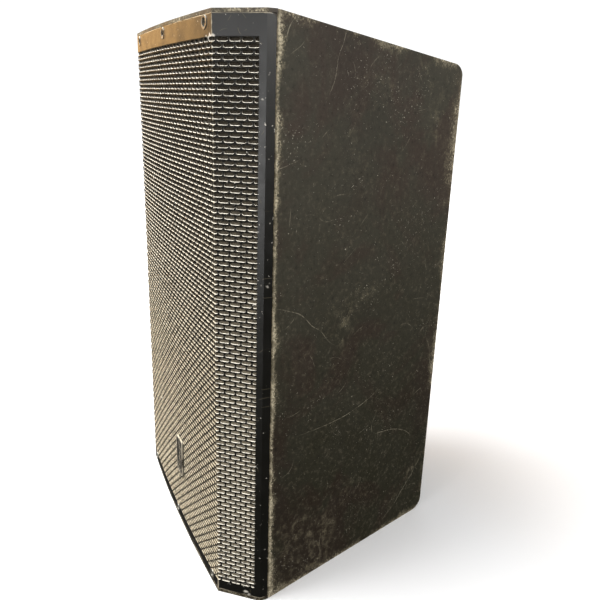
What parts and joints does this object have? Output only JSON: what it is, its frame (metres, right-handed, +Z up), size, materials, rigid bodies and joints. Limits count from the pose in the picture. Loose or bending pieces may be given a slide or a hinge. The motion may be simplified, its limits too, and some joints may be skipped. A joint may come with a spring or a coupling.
{
  "type": "loudspeaker cabinet",
  "caption": "Tall floor-standing stage loudspeaker: tapered painted plywood box, folded perforated steel grille, woofer, horn, recessed handles and rear input dish.",
  "frame": {"origin": "middle of the footprint, on the floor the cabinet stands on", "axes": "+Z up, -Y out of the grille towards the audience, +X to the right when facing the grille"},
  "size_m": [0.4492, 0.3781, 0.735],
  "materials": {
    "cabinet_paint": "worn satin paint on plywood",
    "bare_ply": "bare plywood",
    "grille_steel": "worn semi-gloss powder coat",
    "foam": "open-cell foam",
    "felt": "matted felt",
    "zinc_steel": "worn zinc plate",
    "black_steel": "satin black",
    "cast_alloy": "black cast alloy",
    "ferrite": "sintered ferrite",
    "plated_iron": "zinc plate",
    "cone_paper": "pressed paper",
    "treated_cloth": "treated cloth",
    "black_plastic": "moulded, matt",
    "grip_rubber": "matt",
    "copper": "enamelled copper",
    "board": "glass epoxy",
    "capacitor_film": "film wrap",
    "ceramic": "ceramic",
    "titanium": "bare",
    "badge_metal": "worn, blank"
  },
  "bodies": {
    "cabinet": {"back_handle_dish": "black_plastic", "back_handle_grip": "grip_rubber", "back_panel": "cabinet_paint", "badge": "badge_metal", "baffle": "cabinet_paint", "bottom_panel": "cabinet_paint", "crossover_board": "board", "crossover_capacitors": "capacitor_film", "crossover_inductors": "copper", "crossover_resistors": "ceramic", "crossover_spacers": "black_plastic", "driver_bolts": "black_steel", "driver_cover": "cast_alloy", "driver_diaphragm_ring": "black_plastic", "driver_front_plate": "plated_iron", "driver_gap_plate": "plated_iron", "driver_magnet": "ferrite", "driver_phase_plug": "black_plastic", "driver_pole": "plated_iron", "grille": "grille_steel", "grille_foam": "foam", "grille_screws": "zinc_steel", "grille_washers": "zinc_steel", "horn": "black_plastic", "horn_screws": "black_steel", "input_dish": "black_steel", "lining_left": "felt", "lining_right": "felt", "panel_screws": "zinc_steel", "pole_socket": "black_steel", "port_tube_left": "black_plastic", "port_tube_right": "black_plastic", "selector_body": "black_plastic", "side_panel_left": "cabinet_paint", "side_panel_right": "cabinet_paint", "socket_contacts": "zinc_steel", "socket_screws": "black_steel", "speaker_socket_in": "black_plastic", "speaker_socket_link": "black_plastic", "suspension_plates": "zinc_steel", "top_handle_dish": "black_plastic", "top_handle_grip": "grip_rubber", "top_panel": "cabinet_paint", "window_brace": "bare_ply", "woofer_basket": "cast_alloy", "woofer_gasket": "grip_rubber", "woofer_magnet": "ferrite", "woofer_screws": "black_steel", "woofer_spider": "treated_cloth", "woofer_surround": "treated_cloth", "woofer_terminals": "black_plastic", "woofer_top_plate": "plated_iron", "woofer_yoke": "plated_iron"},
    "woofer_cone_assembly": {"woofer_cone": "cone_paper", "woofer_dust_cap": "cone_paper", "woofer_voice_coil": "copper"},
    "driver_diaphragm_assembly": {"driver_diaphragm": "titanium", "driver_voice_coil": "copper"},
    "selector_knob": {"selector_knob": "black_plastic"}
  },
  "joints": [
    {"name": "cone_travel", "type": "slide", "parent": "cabinet", "child": "woofer_cone_assembly", "axis": [0, -1, 0], "range_m": [-0.007, 0.007], "stiffness_N_per_m": 6000, "deforming": ["woofer_surround", "woofer_spider"]},
    {"name": "diaphragm_travel", "type": "slide", "parent": "cabinet", "child": "driver_diaphragm_assembly", "axis": [0, -1, 0], "range_m": [-0.0004, 0.0004], "stiffness_N_per_m": 8000},
    {"name": "selector_turn", "type": "hinge", "parent": "cabinet", "child": "selector_knob", "pos_m": [0, 0.155, 0.164], "axis": [0, -1, 0], "range_deg": [0, 90]}
  ]
}
